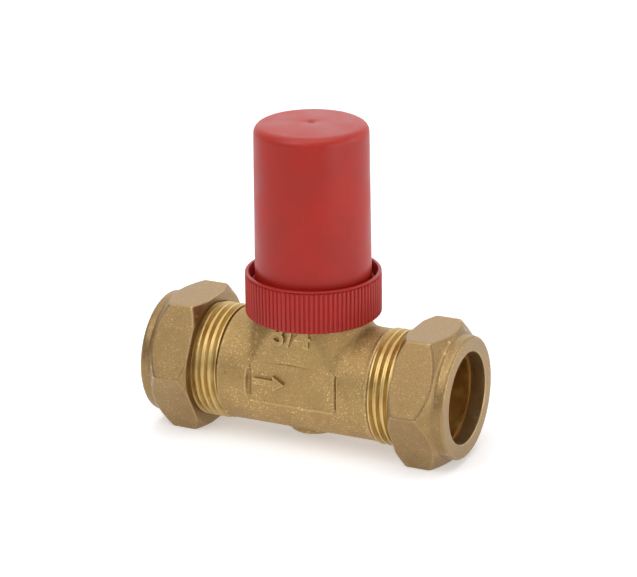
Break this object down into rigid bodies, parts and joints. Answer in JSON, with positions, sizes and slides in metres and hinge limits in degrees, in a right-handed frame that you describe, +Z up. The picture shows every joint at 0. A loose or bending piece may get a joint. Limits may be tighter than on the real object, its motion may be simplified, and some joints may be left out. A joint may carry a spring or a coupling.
{
  "type": "lockshield valve",
  "caption": "Straight brass valve with a compression end each side, a knurled ring and a tall push-on shield that hides its square spindle.",
  "frame": {"origin": "on the spindle's axis, on the surface that the lower flats of the two nuts rest on", "axes": "+X along the run in the direction of the flow arrow, +Z up the spindle, -Y towards the side with the arrow"},
  "size_m": [0.08, 0.037, 0.0791],
  "materials": {
    "forged_brass": "sand-textured forging",
    "nut_brass": "satin forging, pinker than the body",
    "machined_brass": "turned, bright",
    "olive_brass": "turned, soft",
    "hood_plastic": "matt moulded red",
    "ring_plastic": "satin moulded red",
    "white_nylon": "moulded",
    "ptfe_packing": "smooth, waxy",
    "black_rubber": "moulded",
    "spring_steel": "bright wire"
  },
  "bodies": {
    "body": {"valve_body": "forged_brass", "seat_ring": "machined_brass", "bonnet": "machined_brass", "bonnet_seal": "black_rubber", "packing_washer": "machined_brass", "gland_packing": "ptfe_packing"},
    "left_olive": {"left_olive": "olive_brass"},
    "left_nut": {"left_compression_nut": "nut_brass"},
    "right_olive": {"right_olive": "olive_brass"},
    "right_nut": {"right_compression_nut": "nut_brass"},
    "gland_follower": {"gland_follower": "machined_brass"},
    "gland_nut": {"gland_nut": "machined_brass"},
    "plug": {"valve_plug": "machined_brass", "seat_washer": "black_rubber", "seat_washer_nut": "machined_brass", "plug_clip": "spring_steel"},
    "spindle": {"spindle": "machined_brass"},
    "slip_washer": {"slip_washer": "white_nylon"},
    "shield_ring": {"shield_ring": "ring_plastic"},
    "shield_hood": {"shield_hood": "hood_plastic"}
  },
  "joints": [
    {"name": "left_nut_travel", "type": "slide", "parent": "body", "child": "left_olive", "axis": [-1, 0, 0], "range_m": [0, 0.00363]},
    {"name": "left_nut_turn", "type": "hinge", "parent": "left_olive", "child": "left_nut", "pos_m": [-0.032, 0, 0.016], "axis": [-1, 0, 0], "range_deg": [0, 720]},
    {"name": "right_nut_travel", "type": "slide", "parent": "body", "child": "right_olive", "axis": [1, 0, 0], "range_m": [0, 0.00363]},
    {"name": "right_nut_turn", "type": "hinge", "parent": "right_olive", "child": "right_nut", "pos_m": [0.032, 0, 0.016], "axis": [1, 0, 0], "range_deg": [0, 720]},
    {"name": "gland_travel", "type": "slide", "parent": "body", "child": "gland_follower", "axis": [0, 0, 1], "range_m": [0, 0.002]},
    {"name": "gland_turn", "type": "hinge", "parent": "gland_follower", "child": "gland_nut", "pos_m": [0, 0, 0.044], "axis": [0, 0, 1], "range_deg": [0, 720]},
    {"name": "plug_lift", "type": "slide", "parent": "body", "child": "plug", "axis": [0, 0, 1], "range_m": [0, 0.0045]},
    {"name": "spindle_turn", "type": "hinge", "parent": "plug", "child": "spindle", "pos_m": [0, 0, 0.036], "axis": [0, 0, 1], "range_deg": [0, 1080]},
    {"name": "ring_travel", "type": "slide", "parent": "body", "child": "slip_washer", "axis": [0, 0, 1], "range_m": [0, 0.003]},
    {"name": "ring_turn", "type": "hinge", "parent": "slip_washer", "child": "shield_ring", "pos_m": [0, 0, 0.038], "axis": [0, 0, 1], "range_deg": [0, 720]},
    {"name": "hood_lift", "type": "slide", "parent": "slip_washer", "child": "shield_hood", "axis": [0, 0, 1], "range_m": [0, 0.045]}
  ],
  "couplings": [
    {"joint": "left_nut_turn", "follows": "left_nut_travel", "rad_per_m": 3463.7},
    {"joint": "right_nut_turn", "follows": "right_nut_travel", "rad_per_m": 3463.7},
    {"joint": "gland_turn", "follows": "gland_travel", "rad_per_m": 6283.2},
    {"joint": "spindle_turn", "follows": "plug_lift", "rad_per_m": 4188.8},
    {"joint": "ring_turn", "follows": "ring_travel", "rad_per_m": 4188.8}
  ]
}
